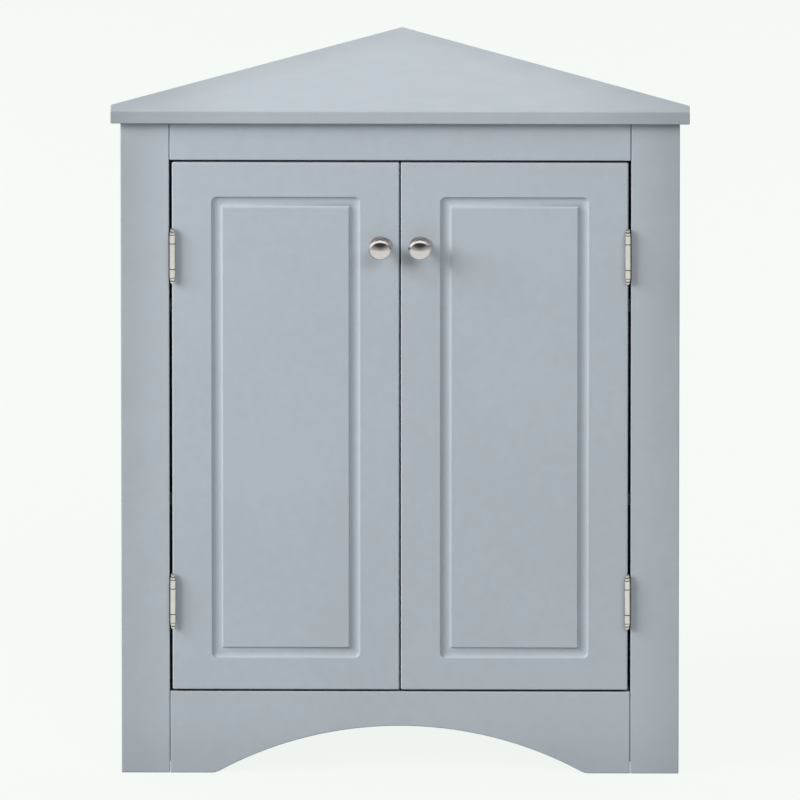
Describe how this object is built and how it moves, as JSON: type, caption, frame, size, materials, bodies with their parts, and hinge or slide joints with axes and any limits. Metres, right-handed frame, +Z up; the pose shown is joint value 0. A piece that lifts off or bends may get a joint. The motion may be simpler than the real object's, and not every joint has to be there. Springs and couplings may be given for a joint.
{
  "type": "corner cupboard",
  "caption": "Triangular free-standing corner cupboard: hinged double doors with routed panels, oval metal knobs, an overhanging top, shelves and an arched foot rail.",
  "frame": {"origin": "middle of the bounding box at the floor", "axes": "+X to the right seen from the front, +Y from the doors towards the back corner, +Z up"},
  "size_m": [0.6676, 0.3775, 0.8],
  "materials": {
    "painted_board": "satin grey-blue paint on medium-density fibreboard",
    "brushed_nickel": "satin nickel plating, slightly warm",
    "zinc": "bare zinc, dull",
    "strike_steel": "bright rolled steel",
    "catch_plastic": "moulded white plastic",
    "ferrite": "dark pressed ferrite"
  },
  "bodies": {
    "cabinet": {"top_board": "painted_board", "left_stile": "painted_board", "right_stile": "painted_board", "top_rail": "painted_board", "bottom_rail": "painted_board", "left_side_panel": "painted_board", "right_side_panel": "painted_board", "bottom_panel": "painted_board", "lower_shelf": "painted_board", "upper_shelf": "painted_board", "left_corner_batten": "painted_board", "right_corner_batten": "painted_board", "left_upper_hinge_frame_leaf": "brushed_nickel", "left_lower_hinge_frame_leaf": "brushed_nickel", "right_upper_hinge_frame_leaf": "brushed_nickel", "right_lower_hinge_frame_leaf": "brushed_nickel", "left_upper_hinge_pin": "brushed_nickel", "left_lower_hinge_pin": "brushed_nickel", "right_upper_hinge_pin": "brushed_nickel", "right_lower_hinge_pin": "brushed_nickel", "left_lower_front_shelf_pin": "zinc", "left_lower_back_shelf_pin": "zinc", "left_upper_front_shelf_pin": "zinc", "left_upper_back_shelf_pin": "zinc", "right_lower_front_shelf_pin": "zinc", "right_lower_back_shelf_pin": "zinc", "right_upper_front_shelf_pin": "zinc", "right_upper_back_shelf_pin": "zinc", "top_rail_left_cam_lock": "zinc", "top_rail_right_cam_lock": "zinc", "bottom_rail_left_cam_lock": "zinc", "bottom_rail_right_cam_lock": "zinc", "left_panel_front_cam_lock": "zinc", "left_panel_back_cam_lock": "zinc", "right_panel_front_cam_lock": "zinc", "right_panel_back_cam_lock": "zinc", "catch_housing": "catch_plastic", "left_catch_magnet": "ferrite", "right_catch_magnet": "ferrite", "left_lower_pole_plate": "strike_steel", "left_upper_pole_plate": "strike_steel", "right_lower_pole_plate": "strike_steel", "right_upper_pole_plate": "strike_steel", "left_catch_screw": "zinc", "right_catch_screw": "zinc"},
    "left_door": {"left_door": "painted_board", "left_knob": "brushed_nickel", "left_knob_screw": "zinc", "left_strike_plate": "strike_steel", "left_strike_screw": "zinc", "left_upper_hinge_door_leaf": "brushed_nickel", "left_lower_hinge_door_leaf": "brushed_nickel"},
    "right_door": {"right_door": "painted_board", "right_knob": "brushed_nickel", "right_knob_screw": "zinc", "right_strike_plate": "strike_steel", "right_strike_screw": "zinc", "right_upper_hinge_door_leaf": "brushed_nickel", "right_lower_hinge_door_leaf": "brushed_nickel"}
  },
  "joints": [
    {"name": "left_door_hinge", "type": "hinge", "parent": "cabinet", "child": "left_door", "pos_m": [-0.2627, -0.16357, 0.415], "axis": [0, 0, -1], "range_deg": [0, 180]},
    {"name": "right_door_hinge", "type": "hinge", "parent": "cabinet", "child": "right_door", "pos_m": [0.2627, -0.16357, 0.415], "axis": [0, 0, 1], "range_deg": [0, 180]}
  ]
}
